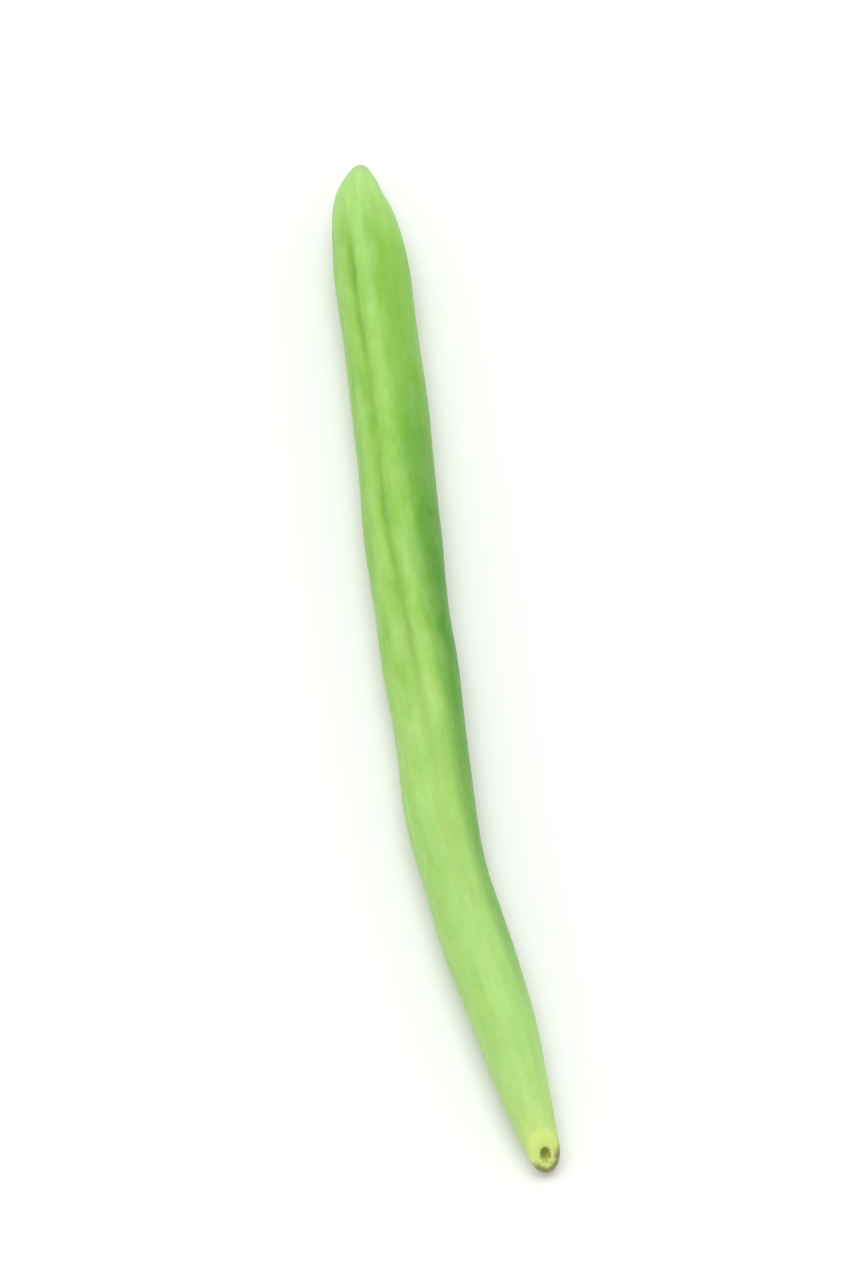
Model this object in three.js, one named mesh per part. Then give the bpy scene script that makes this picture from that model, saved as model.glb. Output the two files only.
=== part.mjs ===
// A fresh green bean, picked and lying on its side on a flat surface.
// The bean is one grown solid: a slender bowed pod with a seam along its top and another along its
// underside, a broken stem scar at one end and a thin hooked beak at the other.
// Units are millimetres. +Z is up, +Y runs from the stem scar to the beak end, +X is to the right.

import * as THREE from 'three';
import { ParametricGeometry } from 'three/addons/geometries/ParametricGeometry.js';

const { clamp, degToRad, lerp, smoothstep } = THREE.MathUtils;

// Driving dimensions

const WIDEST = 8.4;            // width of the pod at its fullest
const DEPTH_RATIO = 1.05;      // the pod is a little deeper, seam to seam, than it is wide
const SCAR_DEPTH_RATIO = 1.16; // the stem end is a taller oval
const SCAR_OVAL_LENGTH = 9;    // the taller oval has gone this far from the scar
const SCAR_SLANT = 0.85;       // the stem broke off on a slant: run per rise of the broken face
const SCAR_SLANT_LENGTH = 7;   // the slant has died away this far from the scar

const SEAM_RIDGE = 0.12;       // height of the two low ridges beside each seam
const SEAM_RIDGE_OUT = 1.15;   // from the middle of a seam out to the crest of each ridge
const SEAM_RIDGE_SPREAD = 0.6;
const SEAM_GROOVE = 0.13;      // depth of the fine groove between the ridges
const SEAM_GROOVE_SPREAD = 0.35;
const SEAM_START = [14, 34];   // the seams rise out of the smooth stem end between these distances
const SEAM_END = [112, 123];   // and sink again into the root of the beak
const SEAM_LEAN = 5;           // degrees that the top seam leans to the left at the stem end
const SEAM_TWIST = 28;         // degrees more that the pod has turned by its beak half
const TWIST_SPAN = [32, 100];

const SEED_SWELL = 0.16;       // how far a seed lifts the pod wall
const SEED_FIRST = 25.5;
const SEED_PITCH = 16.8;
const SEED_COUNT = 6;
const SEED_SPREAD = 4.6;

const RINGS = 84;
const POINTS_AROUND = 32;
const SEAM_GATHER = 0.32;      // how strongly the mesh lines gather at the seams, 0 for not at all

// Middle line of the pod: across, along and up. It bows to the left, then turns down into the beak,
// which curls back under the tip along the surface. The underside lies pressed flat at height zero.

const middleLine = new THREE.CatmullRomCurve3([
  new THREE.Vector3(0.2, 0, 2.9),
  new THREE.Vector3(-0.65, 6, 3.4),
  new THREE.Vector3(-1.8, 17, 3.7),
  new THREE.Vector3(-3.45, 29, 3.75),
  new THREE.Vector3(-4.2, 40, 3.75),
  new THREE.Vector3(-3.7, 52, 3.8),
  new THREE.Vector3(-3.2, 70, 4.05),
  new THREE.Vector3(-1.8, 90, 4.15),
  new THREE.Vector3(-1, 108, 4.35),
  new THREE.Vector3(-0.8, 115, 4.45),
  new THREE.Vector3(-0.8, 119, 4.4),
  new THREE.Vector3(-0.45, 121.6, 4.15),
  new THREE.Vector3(-0.1, 123.5, 3.5),
  new THREE.Vector3(0.2, 124.3, 2.6),
  new THREE.Vector3(0.45, 124.4, 1.7),
  new THREE.Vector3(0.8, 124, 0.9),
  new THREE.Vector3(1.2, 123.25, 0.5),
  new THREE.Vector3(1.55, 122.3, 0.3),
], false, 'catmullrom', 0.5);
middleLine.arcLengthDivisions = 1200;

// Outline of one side, from the bottom of the pit in the scar to the end of the beak. Each point is a
// distance from the scar along the middle line, and a half width as a share of the fullest one.

const outline = new THREE.CatmullRomCurve3([
  [0.6, 0], [0.5, 0.08], [0.1, 0.14], [0, 0.26], [0.3, 0.375], [1.2, 0.43], [3.5, 0.515],
  [8, 0.64], [15, 0.78], [23, 0.84], [33, 0.85], [45, 0.9], [60, 0.95], [80, 1], [95, 0.99],
  [106, 1], [113, 0.965], [117.5, 0.825], [121, 0.6], [123.4, 0.36], [125.2, 0.2],
  [126.8, 0.125], [128.2, 0.085], [129.2, 0.05], [129.4, 0],
].map(([distance, share]) => new THREE.Vector3(distance, share * WIDEST / 2, 0)), false, 'catmullrom', 0.5);

// A soft hump one unit high.

function hump(offset, spread) {
  return Math.exp(-((offset / spread) ** 2));
}

// Height of a seam above the round of the pod, at an arc length away from the seam's middle.

function seamHeight(distance, arc) {
  const grown = smoothstep(distance, ...SEAM_START) * (1 - smoothstep(distance, ...SEAM_END));
  const ridges = SEAM_RIDGE * hump(Math.abs(arc) - SEAM_RIDGE_OUT, SEAM_RIDGE_SPREAD);
  return grown * (ridges - SEAM_GROOVE * hump(arc, SEAM_GROOVE_SPREAD));
}

// Height of the swellings over the seeds, which push out the pod's two sides and not its seams.

function seedHeight(distance, sideways) {
  let swelling = 0;
  for (let seed = 0; seed < SEED_COUNT; seed += 1) {
    swelling += hump(distance - SEED_FIRST - seed * SEED_PITCH, SEED_SPREAD);
  }
  return SEED_SWELL * swelling * sideways ** 2;
}

// A point of the skin. Around and lengthwise both run from 0 to 1.

function skin(around, lengthwise, target) {
  const { x: distance, y: halfWidth } = outline.getPoint(lengthwise);
  const ovalness = 1 - smoothstep(distance, 0, SCAR_OVAL_LENGTH);
  const depthRatio = lerp(DEPTH_RATIO, SCAR_DEPTH_RATIO, ovalness);
  const slant = SCAR_SLANT * (1 - smoothstep(distance, 0, SCAR_SLANT_LENGTH));

  const turn = 2 * Math.PI * around;
  const fromSeam = turn - SEAM_GATHER * Math.sin(2 * turn);
  const twist = -degToRad(SEAM_LEAN + SEAM_TWIST * smoothstep(distance, ...TWIST_SPAN));
  const sideways = Math.sin(fromSeam);
  const arc = Math.asin(clamp(sideways, -1, 1)) * halfWidth;
  const lift = seamHeight(distance, arc) + seedHeight(distance, sideways);
  const across = Math.sin(twist + fromSeam) * (halfWidth + lift);
  const up = Math.cos(twist + fromSeam) * (halfWidth * depthRatio + lift);

  const share = clamp(distance / middleLine.getLength(), 0, 1);
  const forward = middleLine.getTangentAt(share);
  const right = new THREE.Vector3(1, 0, 0).addScaledVector(forward, -forward.x).normalize();
  const over = new THREE.Vector3().crossVectors(right, forward);

  middleLine.getPointAt(share, target);
  target.addScaledVector(right, across);
  target.addScaledVector(over, up);
  target.addScaledVector(forward, slant * up);
  target.z = Math.max(target.z, 0);
}

const podGeometry = new ParametricGeometry(skin, POINTS_AROUND, RINGS);

// The origin is at the middle of the bean's box, on the surface that it lies on.

podGeometry.computeBoundingBox();
const middle = podGeometry.boundingBox.getCenter(new THREE.Vector3());
podGeometry.translate(-middle.x, -middle.y, -podGeometry.boundingBox.min.z);

const podMaterial = new THREE.MeshStandardMaterial({ color: 0xa6d46c, roughness: 0.45, metalness: 0 });
const pod = new THREE.Mesh(podGeometry, podMaterial);
pod.name = 'pod';

const greenBean = new THREE.Group();
greenBean.add(pod);

export default greenBean;
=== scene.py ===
import math

import bpy
from mathutils import Matrix, Vector


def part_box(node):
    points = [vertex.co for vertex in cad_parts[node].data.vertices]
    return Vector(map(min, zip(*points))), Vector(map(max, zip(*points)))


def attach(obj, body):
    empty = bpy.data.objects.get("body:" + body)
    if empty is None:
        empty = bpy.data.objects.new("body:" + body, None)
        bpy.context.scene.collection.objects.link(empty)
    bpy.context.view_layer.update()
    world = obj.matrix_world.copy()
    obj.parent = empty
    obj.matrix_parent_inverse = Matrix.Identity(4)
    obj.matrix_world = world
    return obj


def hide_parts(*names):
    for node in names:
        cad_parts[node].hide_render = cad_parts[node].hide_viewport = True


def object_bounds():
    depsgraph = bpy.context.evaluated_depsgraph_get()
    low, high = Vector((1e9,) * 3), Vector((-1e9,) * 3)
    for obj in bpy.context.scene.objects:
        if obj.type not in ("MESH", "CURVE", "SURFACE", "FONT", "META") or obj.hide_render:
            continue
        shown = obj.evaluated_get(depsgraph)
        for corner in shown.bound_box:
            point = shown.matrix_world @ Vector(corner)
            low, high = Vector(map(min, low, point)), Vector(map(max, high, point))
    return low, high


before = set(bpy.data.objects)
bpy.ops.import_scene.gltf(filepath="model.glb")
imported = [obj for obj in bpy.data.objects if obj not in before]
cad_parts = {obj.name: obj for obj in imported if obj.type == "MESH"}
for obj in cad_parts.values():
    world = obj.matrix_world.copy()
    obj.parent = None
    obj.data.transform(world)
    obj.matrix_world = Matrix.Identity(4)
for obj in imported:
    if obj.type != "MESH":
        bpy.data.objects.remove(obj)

cad_low, cad_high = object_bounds()


# The pod: shape
# A green bean is one fleshy pod that grew in one piece: a bowed tube with a seam along its top and
# another along its underside, soft swellings over the seeds, a broken stem scar with a small pit at
# one end and a thin hooked beak at the other. It lies on its side, its underside pressed a little flat.

MM = 0.001
POD_LENGTH = 129.4

# Middle line of the pod, from the scar to the end of the beak: across, along and up, in millimetres.
MIDDLE_LINE = [
    (0.2, 0, 2.9), (-0.65, 6, 3.4), (-1.8, 17, 3.7), (-3.45, 29, 3.75), (-4.2, 40, 3.75),
    (-3.7, 52, 3.8), (-3.2, 70, 4.05), (-1.8, 90, 4.15), (-1, 108, 4.35), (-0.8, 115, 4.45),
    (-0.8, 119, 4.4), (-0.45, 121.6, 4.15), (-0.1, 123.5, 3.5), (0.2, 124.3, 2.6),
    (0.45, 124.4, 1.7), (0.8, 124, 0.9), (1.2, 123.25, 0.5), (1.55, 122.3, 0.3),
]

# Outline of one side: distance from the scar along the middle line, and the half width there as a
# share of the fullest one. It starts in the middle of the pit in the scar.
OUTLINE = [
    (0.6, 0), (0.5, 0.08), (0.1, 0.14), (0, 0.26), (0.3, 0.375), (1.2, 0.43), (3.5, 0.515),
    (8, 0.64), (15, 0.78), (23, 0.84), (33, 0.85), (45, 0.9), (60, 0.95), (80, 1), (95, 0.99),
    (106, 1), (113, 0.965), (117.5, 0.825), (121, 0.6), (123.4, 0.36), (125.2, 0.2),
    (126.8, 0.125), (128.2, 0.085), (129.2, 0.05), (POD_LENGTH, 0),
]

# Sizes for the sweep: millimetres, radians, ratios and counts. Flutes, strands, lumps, pebbles and
# unevenness say how high each of them stands.
POD_SIZES = {
    "Widest": 8.4,
    "Depth ratio": 1.05,
    "Scar depth ratio": 1.16,
    "Scar oval length": 9.0,
    "Scar slant": 0.85,
    "Scar slant length": 7.0,
    "Scar raggedness": 0.25,
    "Seam lean": math.radians(5),
    "Seam twist": math.radians(28),
    "Seam ridge": 0.13,
    "Seam ridge out": 1.35,
    "Seam ridge width": 0.85,
    "Seam groove": 0.1,
    "Seam groove width": 0.48,
    "Crease depth": 0.14,
    "Crease place": 108.0,
    "Crease length": 2.2,
    "Seed swell": 0.15,
    "First seed": 25.5,
    "Seed pitch": 16.8,
    "Flutes": 0.05,
    "Strands": 0.06,
    "Lumps": 0.08,
    "Pebbles": 0.045,
    "Unevenness": 0.08,
    "Guide steps": 48,
    "Rings": 700,
    "Points around": 132,
    "Gathering at seams": 0.25,
}

# Where along the pod its shapes come in and die away, in millimetres from the scar.
SEAM_START, SEAM_END = (14, 40), (112, 123)
GROOVE_END = (108, 120)
SEEDS_START, SEEDS_END = (12, 24), (108, 120)
FLUTES_START, LUMPS_START = (10, 45), (0, 40)
TWIST_SPAN = (32, 100)

# Patterns run round the pod as if it had this radius all along, so that they don't shrink at its ends.
PATTERN_RADIUS = 4


class Wire:
    """One output of a node. Sums, products and powers of wires add Math nodes to the same tree."""

    def __init__(self, socket):
        self.socket = socket

    def node(self, kind, settings=None, sockets=None):
        """Adds a node: its settings go in first, then a value or a wire for each socket.

        A socket goes by its name, its identifier or its number."""
        tree = self.socket.id_data
        made = tree.nodes.new(kind)
        for name, value in (settings or {}).items():
            if name == "stops":
                while len(made.color_ramp.elements) < len(value):
                    made.color_ramp.elements.new(1)
                for element, (place, colour) in zip(made.color_ramp.elements, value):
                    element.position = place
                    element.color = colour
            else:
                setattr(made, name, value)
        for name, value in (sockets or {}).items():
            found = [s for s in made.inputs if s.enabled and name in (s.identifier, s.name)]
            target = found[0] if found else made.inputs[name]
            if isinstance(value, Wire):
                tree.links.new(value.socket, target)
            else:
                target.default_value = value
        return Wire(next(s for s in made.outputs if s.enabled))

    def out(self, name):
        """Another output of the same node."""
        return Wire(self.socket.node.outputs[name])

    def maths(self, operation, *values):
        return self.node("ShaderNodeMath", {"operation": operation}, dict(enumerate((self, *values))))

    def vector(self, operation, *values):
        return self.node("ShaderNodeVectorMath", {"operation": operation}, dict(enumerate((self, *values))))

    def scaled(self, length):
        """This vector times a number."""
        return self.node("ShaderNodeVectorMath", {"operation": "SCALE"}, {0: self, "Scale": length})

    def __add__(self, other):
        return self.maths("ADD", other)

    __radd__ = __add__

    def __mul__(self, other):
        return self.maths("MULTIPLY", other)

    __rmul__ = __mul__

    def __sub__(self, other):
        return self.maths("SUBTRACT", other)

    def __rsub__(self, other):
        return self * -1 + other

    def __truediv__(self, other):
        return self.maths("DIVIDE", other)

    def __pow__(self, other):
        return self.maths("POWER", other)

    def __abs__(self):
        return self.maths("ABSOLUTE")

    def rise(self, start, end):
        """A smooth step from 0 at start to 1 at end."""
        return self.node("ShaderNodeMapRange", {"interpolation_type": "SMOOTHSTEP"},
                         {"Value": self, "From Min": start, "From Max": end})

    def hump(self, spread):
        """A soft hump one unit high round zero."""
        return (-1 * (self / spread) * (self / spread)).maths("EXPONENT")

    def between(self, low, high):
        """low where this is 0 and high where it is 1."""
        return low + self * (high - low)

    def point(self, y, z):
        """The vector of this, y and z."""
        return self.node("ShaderNodeCombineXYZ", sockets={"X": self, "Y": y, "Z": z})

    def part(self, axis):
        """The X, Y or Z of this vector."""
        return self.node("ShaderNodeSeparateXYZ", sockets={"Vector": self}).out(axis)

    def noise(self, scale, detail=2):
        """Noise about zero, from about -0.5 to 0.5. scale is the pattern's count for each unit, by axis."""
        stretched = self.vector("MULTIPLY", scale)
        return stretched.node("ShaderNodeTexNoise", sockets={
            "Vector": stretched, "Scale": 1.0, "Detail": detail, "Roughness": 0.55}) - 0.5


def sweep_tree():
    """The tree that sweeps the outline along the middle line and models the skin on it."""
    tree = bpy.data.node_groups.new("bean_pod_sweep", "GeometryNodeTree")
    tree.interface.new_socket("Guide lines", in_out="INPUT", socket_type="NodeSocketGeometry")
    for name, value in POD_SIZES.items():
        kind = "NodeSocketInt" if isinstance(value, int) else "NodeSocketFloat"
        tree.interface.new_socket(name, in_out="INPUT", socket_type=kind)
    tree.interface.new_socket("Skin", in_out="INPUT", socket_type="NodeSocketMaterial")
    tree.interface.new_socket("Pod", in_out="OUTPUT", socket_type="NodeSocketGeometry")

    given = tree.nodes.new("NodeGroupInput")
    size = {s.name: Wire(s) for s in given.outputs if s.name}
    guide = size["Guide lines"]
    guide = guide.node("GeometryNodeCurveSplineType", {"spline_type": "CATMULL_ROM"}, {"Curve": guide})
    guide = guide.node("GeometryNodeSetSplineResolution", sockets={
        "Geometry": guide, "Resolution": size["Guide steps"]})

    # A flat sheet of points is rolled up: its X runs from the scar to the beak, its Y round the pod.
    sheet = guide.node("GeometryNodeMeshGrid", sockets={
        "Size X": 1.0, "Size Y": 1.0, "Vertices X": size["Rings"], "Vertices Y": size["Points around"]})
    place = sheet.node("GeometryNodeInputPosition")
    lengthwise = place.part("X") + 0.5
    turn = (0.5 - place.part("Y")) * math.tau

    # The rings crowd together at both ends, where the outline turns fastest.
    crowding, reach = 0.8, 0.02
    near_scar = (lengthwise * (-1 / reach)).maths("EXPONENT")
    near_beak = ((lengthwise - 1) * (1 / reach)).maths("EXPONENT")
    crowded = lengthwise - crowding * reach * (1 - near_scar) - crowding * reach * near_beak
    crowded = crowded / (1 - 2 * crowding * reach)

    # The outline gives each ring its place and half width, and the middle line its centre and heading.
    sample = {"Curves": guide, "Factor": crowded, "Curve Index": 1}
    outline = guide.node("GeometryNodeSampleCurve", {"mode": "FACTOR"}, sample).out("Position")
    distance = outline.part("X")
    half = outline.part("Y") * size["Widest"] * 0.5
    sample = {"Curves": guide, "Length": distance, "Curve Index": 0}
    middle = guide.node("GeometryNodeSampleCurve", {"mode": "LENGTH"}, sample)
    forward = middle.out("Tangent")
    sideways_line = forward.node("ShaderNodeCombineXYZ", sockets={"X": 1.0})
    right = sideways_line.vector("SUBTRACT", forward.scaled(forward.part("X"))).vector("NORMALIZE")
    over = right.vector("CROSS_PRODUCT", forward)

    # The points gather at the two seams, which have the finest shapes.
    from_seam = turn - size["Gathering at seams"] * (turn * 2).maths("SINE")
    sideways = from_seam.maths("SINE")
    upward = from_seam.maths("COSINE")
    skin = distance.point(sideways * half, upward * half)

    # Seams: two low ridges with a groove between them, which wander a little as they run. Near the
    # beak the top one has a short crease.
    wander = skin.noise((1 / 9, 0.05, 0.05)) * 0.9 + skin.noise((1 / 3, 0.05, 0.05)) * 0.2
    arc = sideways.maths("ARCSINE") * half + wander
    grown = distance.rise(*SEAM_START) * (1 - distance.rise(*SEAM_END))
    strength = 0.9 + skin.noise((1 / 7, 0.1, 0.1)) * 2.4
    ridges = size["Seam ridge"] * (abs(arc) - size["Seam ridge out"]).hump(size["Seam ridge width"])
    groove = size["Seam groove"] * arc.hump(size["Seam groove width"]) * strength
    groove = groove * (1 - distance.rise(*GROOVE_END))
    crease = (distance - size["Crease place"]).hump(size["Crease length"]) * upward.rise(0, 0.5)
    crease = size["Crease depth"] * arc.hump(0.3) * crease
    strands = distance.point(arc * 5, upward).noise((1 / 11, 0.2, 0.3))
    strands = size["Strands"] * strands * arc.hump(1.6)
    seam = grown * (ridges - groove - crease + strands)

    # Seeds push out the pod's two sides; between them the wall sinks back.
    phase = (distance - size["First seed"]) * math.tau / size["Seed pitch"]
    seeded = distance.rise(*SEEDS_START) * (1 - distance.rise(*SEEDS_END))
    seeds = size["Seed swell"] * seeded * (phase.maths("COSINE") * 0.5 + 0.2) * sideways * sideways

    # Long low flutes run with the pod and close up at its ends, the skin over the flesh is lumpy and
    # finely pebbled, and nothing that grew is quite even.
    girth = distance.point(sideways * PATTERN_RADIUS, upward * PATTERN_RADIUS)
    flutes = size["Flutes"] * girth.noise((1 / 16, 0.8, 0.8)) * distance.rise(*FLUTES_START) * 2
    lumps = size["Lumps"] * girth.noise((1 / 5, 0.5, 0.5), detail=1) * distance.rise(*LUMPS_START) * 2
    pebbles = size["Pebbles"] * skin.noise((1.1, 1.8, 1.8), detail=3)
    uneven = size["Unevenness"] * skin.noise((1 / 14, 0.16, 0.16), detail=1) * 2
    slim = (half / 3).maths("MINIMUM", 1.0)
    lift = seam + seeds + (flutes + lumps + pebbles + uneven) * slim

    # The pod twists as it runs, and its round is a little taller than it is wide, most of all at the scar.
    angle = from_seam - size["Seam lean"] - size["Seam twist"] * distance.rise(*TWIST_SPAN)
    ovalness = 1 - distance.rise(0, size["Scar oval length"])
    depth = ovalness.between(size["Depth ratio"], size["Scar depth ratio"])
    across = angle.maths("SINE") * (half + lift)
    up = angle.maths("COSINE") * (half * depth + lift)

    # The stem broke off on a slant and left a ragged face.
    ragged = size["Scar raggedness"] * skin.noise((1, 2.2, 2.2), detail=3) * (1 - distance.rise(0.5, 1.6))
    slant = up * size["Scar slant"] * (1 - distance.rise(0, size["Scar slant length"])) + ragged

    # Each point goes out from the middle line, and none sinks below the table.
    point = middle.out("Position").vector("ADD", right.scaled(across))
    point = point.vector("ADD", over.scaled(up)).vector("ADD", forward.scaled(slant))
    point = point.part("X").point(point.part("Y"), point.part("Z").maths("MAXIMUM", 0.0))

    # The skin keeps its own coordinates, in millimetres, for its material to follow.
    body = sheet
    for name, kind, value in (("skin", "FLOAT_VECTOR", skin), ("seam_arc", "FLOAT", arc)):
        body = body.node("GeometryNodeStoreNamedAttribute", {"data_type": kind},
                         {"Geometry": body, "Name": name, "Value": value})
    body = body.node("GeometryNodeSetPosition", sockets={"Geometry": body, "Position": point.scaled(MM)})
    body = body.node("GeometryNodeMergeByDistance", sockets={"Geometry": body, "Distance": 0.001 * MM})
    body = body.node("GeometryNodeSetShadeSmooth", sockets={"Geometry": body})
    body = body.node("GeometryNodeRealizeInstances", sockets={"Geometry": body})
    body = body.node("GeometryNodeSetMaterial", sockets={"Geometry": body, "Material": size["Skin"]})
    result = tree.nodes.new("NodeGroupOutput")
    tree.links.new(body.socket, result.inputs["Pod"])
    return tree


# The pod: skin
# Fresh bean skin is a thin satin cuticle over watery green flesh that light sinks into. Its green is
# paler towards the stem, partly as painted light, with fine lengthwise streaks and dry ends. Painted
# shade darkens the seam's groove and the pod's right side, and painted highlights lighten the seam's
# ridges and the tip.

# The ground colour, by share of the pod's length from the scar to the end of the beak. Its paleness
# towards the stem is partly the pod's own colour and partly painted light, and the pale stop just short
# of the beak is a painted highlight on the tip.
GROUND_AND_PAINTED_LIGHT = [
    (0.0, "cce286"), (0.03, "badd82"), (0.08, "add77c"), (0.3, "a6d26e"), (0.46, "98c957"),
    (0.6, "8bc346"), (0.86, "90c84c"), (0.94, "b4e084"), (0.965, "a0b850"), (0.985, "96863a"),
    (1.0, "6b5230"),
]

# Tints that lie over it: the colour, and the share of it that shows where the tint is full.
TINTS = {
    "mint patch": ("a8e48c", 0.3),
    "yellow patch": ("a2cc4c", 0.3),
    # painted shade on the right side
    "right side painted shade": ("3c8a00", 1),
    "streak": ("5f9a2e", 0.36),
    "cloud": ("c0e68c", 0.3),
    "vein": ("4f8c28", 0.1),
    "dark thread": ("6aa83a", 0.1),
    "pale thread": ("cbec9c", 0.08),
    # painted shade in the seam's groove and crease
    "painted groove shade": ("6a9632", 0.45),
    "painted crease shade": ("4f8a2c", 0.35),
    "seam fibre": ("adb85e", 0.36),
    # painted highlight on the seam's ridges
    "painted ridge highlight": ("c4e892", 0.2),
    "speck": ("d8eeb0", 0.16),
    "scuff": ("b5b47a", 0.4),
    "scar face": ("d8ea84", 0.8),
    "scar rim": ("8a8052", 0.9),
    "scar pit": ("88902e", 1),
}

# Where along the pod the tints come in and die away, in millimetres from the scar.
RIPENING = (5, 50)
SEAM_TINT_START, SEAM_TINT_END = (18, 40), (108, 119)
GROOVE_TINT_START, FIBRES_END = (44, 66), (48, 70)

# Painted shade on the right side: somewhat darker near the stem, and darkest half way along.
SHADE_NEAR_STEM, SHADE_START, SHADE_FADES = 0.55, (12, 28), (30, 75)
SHADE_HALF_WAY, SHADE_DEEPEST, SHADE_SPREAD = 0.92, 69, 25

BUMP_HEIGHT = 0.00007             # of the finest pebbling, in metres
SCATTER_DEPTH = 0.001             # how far light travels in the flesh, in metres
SCATTER_COLOUR = (0.5, 0.8, 0.2)  # green light goes the farthest
SCATTER_SHARE = 0.25
SHINE = 0.25
ROUGHNESS = 0.4


def paint(code):
    """A linear colour from the usual six-digit code."""
    parts = [int(code[i:i + 2], 16) / 255 for i in (0, 2, 4)]
    return (*[p / 12.92 if p <= 0.04045 else ((p + 0.055) / 1.055) ** 2.4 for p in parts], 1.0)


def bean_skin():
    material = bpy.data.materials.new("bean_skin")
    material.use_nodes = True
    nodes = material.node_tree.nodes
    shader = nodes["Principled BSDF"]
    skin = Wire(nodes.new("ShaderNodeAttribute").outputs["Vector"])
    skin.socket.node.attribute_name = "skin"
    distance = skin.part("X")
    sideways, upward = skin.part("Y"), skin.part("Z")
    radius = (sideways * sideways + upward * upward) ** 0.5
    arc = skin.node("ShaderNodeAttribute", {"attribute_name": "seam_arc"}).out("Fac")
    girth = skin.vector("MULTIPLY", (0, 1, 1)).vector("NORMALIZE")
    girth = girth.vector("MULTIPLY", (0, PATTERN_RADIUS, PATTERN_RADIUS))
    girth = girth.vector("ADD", distance.point(0, 0))

    def tinted(below, place, tint):
        """The colour below with its share of a tint over it where place is 1, and none where it is 0."""
        code, share = TINTS[tint]
        return skin.node("ShaderNodeMix", {"data_type": "RGBA"},
                         {"Factor_Float": place * share, "A_Color": below, "B_Color": paint(code)})

    # The ramp holds painted light: paler towards the stem in part, and a painted highlight at the tip.
    stops = [(place, paint(code)) for place, code in GROUND_AND_PAINTED_LIGHT]
    body = skin.node("ShaderNodeValToRGB", {"stops": stops}, {"Fac": distance / POD_LENGTH})

    # Some patches have turned towards mint and some towards yellow. Their noise is read further along,
    # so that they don't follow the clouds below.
    patches = girth.vector("ADD", (40, 0, 0)).noise((1 / 8, 0.45, 0.45), detail=1)
    body = tinted(body, patches.rise(0.0, 0.3), "mint patch")
    body = tinted(body, (patches * -1).rise(0.0, 0.3), "yellow patch")

    # Painted shade: the right side is painted a darker, deeper green.
    flank = (sideways / (radius + 0.001)).rise(0.35, 0.95)
    near_stem = SHADE_NEAR_STEM * distance.rise(*SHADE_START) * (1 - distance.rise(*SHADE_FADES))
    half_way = SHADE_HALF_WAY * (distance - SHADE_DEEPEST).hump(SHADE_SPREAD)
    body = tinted(body, flank * (near_stem + half_way), "right side painted shade")

    # Streaks run with the pod and clouds of paler green lie across them, fainter near the stem. The clouds
    # are also fainter on the right side, under its painted shade.
    ripe = distance.rise(*RIPENING).between(0.65, 1)
    streaks = girth.noise((1 / 10, 0.8, 0.8), detail=2)
    clouds = girth.noise((1 / 5, 0.5, 0.5), detail=2)
    body = tinted(body, (streaks * 1.8 + 0.45) * ripe, "streak")
    body = tinted(body, (clouds * 2.4 + 0.4) * ripe * (1 - flank * 0.45), "cloud")

    # Fine veins slant away from the seams, and fine threads run with the pod.
    slanted = skin.vector("ADD", (abs(arc) * -1.2).point(0, 0))
    veins = slanted.noise((1.1, 0.7, 0.7), detail=2)
    body = tinted(body, veins.rise(-0.1, 0.3) * ripe, "vein")
    threads = girth.vector("ADD", (80, 0, 0)).noise((1 / 2.5, 3, 3), detail=2)
    body = tinted(body, threads.rise(0.0, 0.3) * ripe, "dark thread")
    body = tinted(body, (threads * -1).rise(0.0, 0.3) * ripe, "pale thread")

    # The seam's groove is painted a darker green as shade, with tan fibres in it towards the stem, and the
    # painted shade is darkest in the short crease near the beak. Its ridges are painted paler as
    # highlights.
    # They all come and go.
    grown = distance.rise(*SEAM_TINT_START) * (1 - distance.rise(*SEAM_TINT_END))
    strands = distance.point(arc * 4, upward).noise((1 / 9, 0.3, 0.3), detail=2)
    fading = skin.noise((1 / 6, 0.2, 0.2)) * 2
    groove = arc.hump(0.5) * (0.8 + fading + strands) * grown * distance.rise(*GROOVE_TINT_START)
    fibres = arc.hump(0.8) * (0.7 + fading + strands * 2) * grown * (1 - distance.rise(*FIBRES_END))
    ridge = (abs(arc) - 1.4).hump(0.9) * grown * (0.7 + fading * 2)
    crease = arc.hump(0.4) * (distance - POD_SIZES["Crease place"]).hump(2.6) * upward.rise(0, 0.5)
    body = tinted(body, groove, "painted groove shade")
    body = tinted(body, crease, "painted crease shade")
    body = tinted(body, fibres, "seam fibre")
    body = tinted(body, ridge, "painted ridge highlight")

    # Pale specks are scattered all over, with a few faint tan scuffs.
    speck = skin.node("ShaderNodeTexVoronoi", {"feature": "F1"}, {"Vector": skin, "Scale": 0.9})
    chosen = speck.out("Color").part("X").rise(0.55, 0.6)
    body = tinted(body, chosen * (1 - speck.rise(0.06, 0.13)), "speck")
    scuffs = girth.noise((1 / 5, 0.9, 0.9), detail=4).rise(0.2, 0.3)
    body = tinted(body, scuffs, "scuff")

    # The scar has a dark pit in a pale fibrous face, with a brown rim at its lower side only.
    torn = skin.noise((1, 4, 4), detail=3)
    face = 1 - (distance + torn * 0.9).rise(0.1, 1.1)
    body = tinted(body, face, "scar face")
    lower = (0.3 - upward * 1.1 + sideways * 0.2).rise(0.0, 1.0)
    rim = (radius + torn * 0.9).rise(0.7, 1.2) * (1 - distance.rise(0.6, 1.5)) * lower
    body = tinted(body, rim, "scar rim")
    pit = (1 - distance.rise(0.9, 1.2)) * (1 - (radius + torn * 0.5).rise(0.25, 0.8))
    body = tinted(body, pit, "scar pit")

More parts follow.
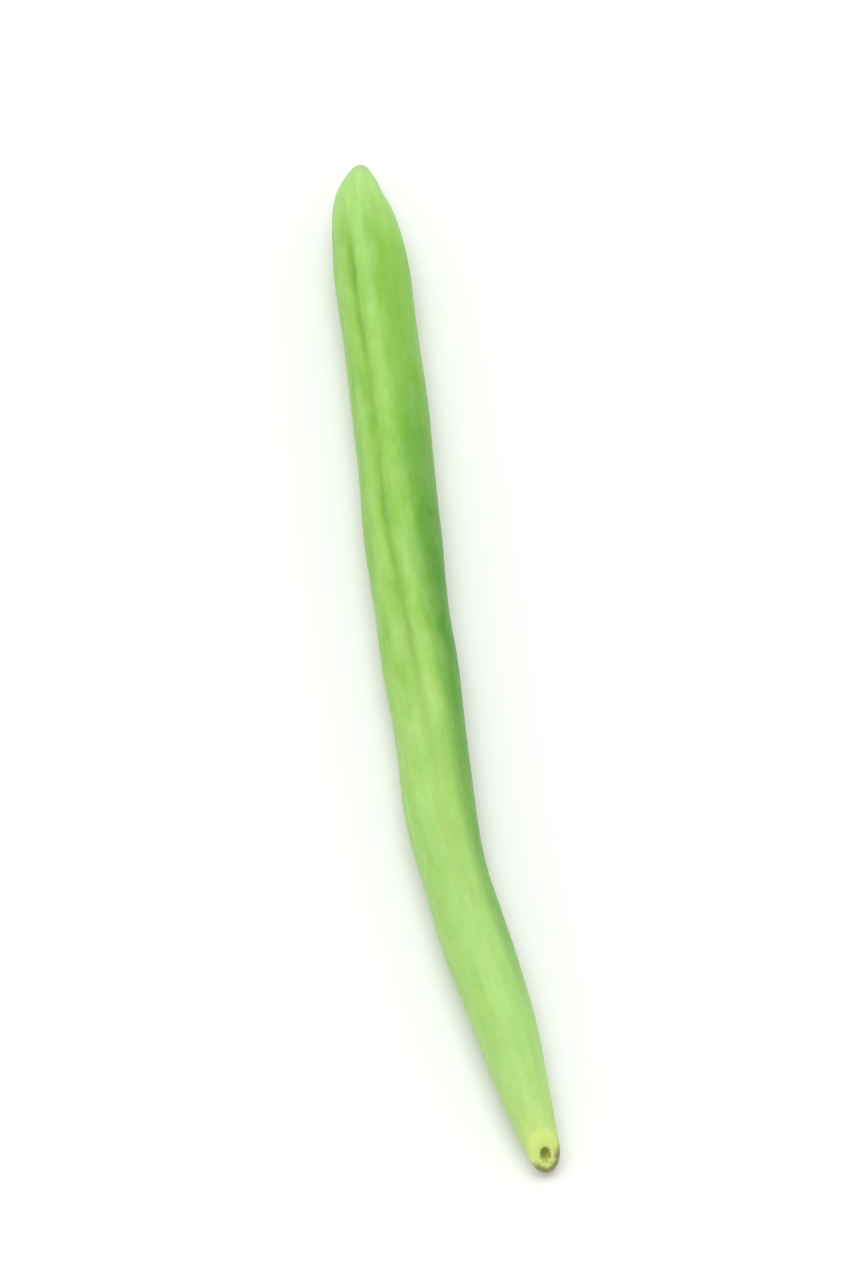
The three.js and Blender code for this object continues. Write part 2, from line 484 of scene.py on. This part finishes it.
    # A satin cuticle, rougher over the scuffs and the scar, with fine pebbling.
    link = skin.socket.id_data.links.new
    link(body.socket, shader.inputs["Base Color"])
    rough = ROUGHNESS + clouds * 0.16 + scuffs * 0.2 + face * 0.2
    link(rough.socket, shader.inputs["Roughness"])
    fine = skin.noise((2.4, 3.6, 3.6), detail=4) + threads * 0.4
    bump = skin.node("ShaderNodeBump", sockets={
        "Height": fine, "Distance": BUMP_HEIGHT, "Strength": 0.8})
    link(bump.socket, shader.inputs["Normal"])
    shader.inputs["Subsurface Weight"].default_value = SCATTER_SHARE
    shader.inputs["Subsurface Radius"].default_value = SCATTER_COLOUR
    shader.inputs["Subsurface Scale"].default_value = SCATTER_DEPTH
    shader.inputs["Specular IOR Level"].default_value = SHINE
    return material


# The pod: sweep
# The two guide lines are laid down, the outline is swept along the middle line, and the result is kept
# as one plain closed skin.

guides = bpy.data.curves.new("bean_guides", "CURVE")
guides.dimensions = "3D"
for points in (MIDDLE_LINE, [(x, y, 0) for x, y in OUTLINE]):
    spline = guides.splines.new("POLY")
    spline.points.add(len(points) - 1)
    for made, point in zip(spline.points, points):
        made.co = (*point, 1)
guide_lines = bpy.data.objects.new("bean_guides", guides)
bpy.context.scene.collection.objects.link(guide_lines)

sweep = guide_lines.modifiers.new("sweep", "NODES")
sweep.node_group = sweep_tree()
for socket in sweep.node_group.interface.items_tree:
    if socket.in_out == "INPUT" and socket.name in POD_SIZES:
        sweep[socket.identifier] = POD_SIZES[socket.name]
    elif socket.name == "Skin":
        sweep[socket.identifier] = bean_skin()

bpy.context.view_layer.update()
evaluated = guide_lines.evaluated_get(bpy.context.evaluated_depsgraph_get())
pod_mesh = bpy.data.meshes.new_from_object(evaluated)
guide_lines.modifiers.remove(sweep)
bpy.data.objects.remove(guide_lines)
bpy.data.curves.remove(guides)

# The sweep leaves an empty material slot in front of the skin's.
pod_mesh.materials.pop(index=0)

pod = bpy.data.objects.new("bean_pod", pod_mesh)
bpy.context.scene.collection.objects.link(pod)
bpy.context.view_layer.update()

# It is moved, in its mesh, so that it lies on the table with its middle where the solid's is.
low = Vector([min(v.co[i] for v in pod_mesh.vertices) for i in range(3)])
high = Vector([max(v.co[i] for v in pod_mesh.vertices) for i in range(3)])
solid_low, solid_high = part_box("pod")
shift = (solid_low + solid_high) / 2 - (low + high) / 2
shift.z = solid_low.z - low.z
pod_mesh.transform(Matrix.Translation(shift))
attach(pod, "root")
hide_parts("pod")


# The table
# The bean lies on a plain near-white sheet of matt paper that is flat in the middle and sweeps up on
# every side, so that no edge shows behind it.

FLAT_RADIUS, SWEEP_RADIUS, WALL_TOP = 1.6, 1.2, 2.6
SWEEP_STEPS, SHEET_SIDES = 16, 96
PAPER_COLOUR, PAPER_ROUGHNESS = (0.9, 0.9, 0.895, 1), 0.7

sheet_profile = [(FLAT_RADIUS, 0.0)]
for step in range(1, SWEEP_STEPS + 1):
    bend = math.pi / 2 * step / SWEEP_STEPS
    sheet_profile.append((FLAT_RADIUS + SWEEP_RADIUS * math.sin(bend), SWEEP_RADIUS * (1 - math.cos(bend))))
sheet_profile.append((FLAT_RADIUS + SWEEP_RADIUS, WALL_TOP))

corners = [(0, 0, 0)]
for radius, height in sheet_profile:
    for side in range(SHEET_SIDES):
        turn = math.tau * side / SHEET_SIDES
        corners.append((radius * math.cos(turn), radius * math.sin(turn), height))
faces = []
for side in range(SHEET_SIDES):
    after = (side + 1) % SHEET_SIDES
    faces.append((0, 1 + side, 1 + after))
    for ring in range(len(sheet_profile) - 1):
        inner, outer = 1 + ring * SHEET_SIDES, 1 + (ring + 1) * SHEET_SIDES
        faces.append((inner + side, outer + side, outer + after, inner + after))
sheet = bpy.data.meshes.new("white_sheet")
sheet.from_pydata(corners, [], faces)
sheet.polygons.foreach_set("use_smooth", [True] * len(faces))
white_sheet = bpy.data.objects.new("white_sheet", sheet)
bpy.context.scene.collection.objects.link(white_sheet)
paper = bpy.data.materials.new("sheet_white")
paper.use_nodes = True
paper_shader = paper.node_tree.nodes["Principled BSDF"]
paper_shader.inputs["Base Color"].default_value = PAPER_COLOUR
paper_shader.inputs["Roughness"].default_value = PAPER_ROUGHNESS
sheet.materials.append(paper)


# The light
# One large soft square light hangs overhead, a little to the left, and the white walls of the room
# give back the rest.

WINDOW_PLACE, WINDOW_SIZE, WINDOW_POWER = Vector((-0.15, 0.4, 2.5)), 2.2, 39.5
ROOM_COLOUR, ROOM_BRIGHTNESS = (1, 1, 1, 1), 0.6

lamp = bpy.data.lights.new("window", "AREA")
lamp.shape = "SQUARE"
lamp.size = WINDOW_SIZE
lamp.energy = WINDOW_POWER
window = bpy.data.objects.new("window", lamp)
window.location = WINDOW_PLACE
window.rotation_mode = "QUATERNION"
window.rotation_quaternion = (-WINDOW_PLACE).to_track_quat("-Z", "Y")
bpy.context.scene.collection.objects.link(window)

bpy.context.scene.view_settings.view_transform = "Standard"
room = bpy.data.worlds.new("soft_room")
bpy.context.scene.world = room
room.use_nodes = True
room.node_tree.nodes["Background"].inputs["Color"].default_value = ROOM_COLOUR
room.node_tree.nodes["Background"].inputs["Strength"].default_value = ROOM_BRIGHTNESS


# The camera
# It looks down at the middle of the bean over its stem end, a little from the left, through a long
# lens. Angles are in radians and distances in metres.

LENS, FILM_WIDTH = 182, 36
AZIMUTH, ELEVATION, AWAY = math.radians(-9.1), math.radians(60), 0.7
SEES_TO = 20

lens = bpy.data.cameras.new("camera")
lens.lens = LENS
lens.sensor_width = FILM_WIDTH
lens.clip_end = SEES_TO
camera = bpy.data.objects.new("camera", lens)
flat = math.cos(ELEVATION)
back = Vector((math.sin(AZIMUTH) * flat, -math.cos(AZIMUTH) * flat, math.sin(ELEVATION)))
camera.location = (cad_low + cad_high) / 2 + back * AWAY
camera.rotation_mode = "QUATERNION"
camera.rotation_quaternion = (-back).to_track_quat("-Z", "Y")
bpy.context.scene.collection.objects.link(camera)
bpy.context.scene.camera = camera
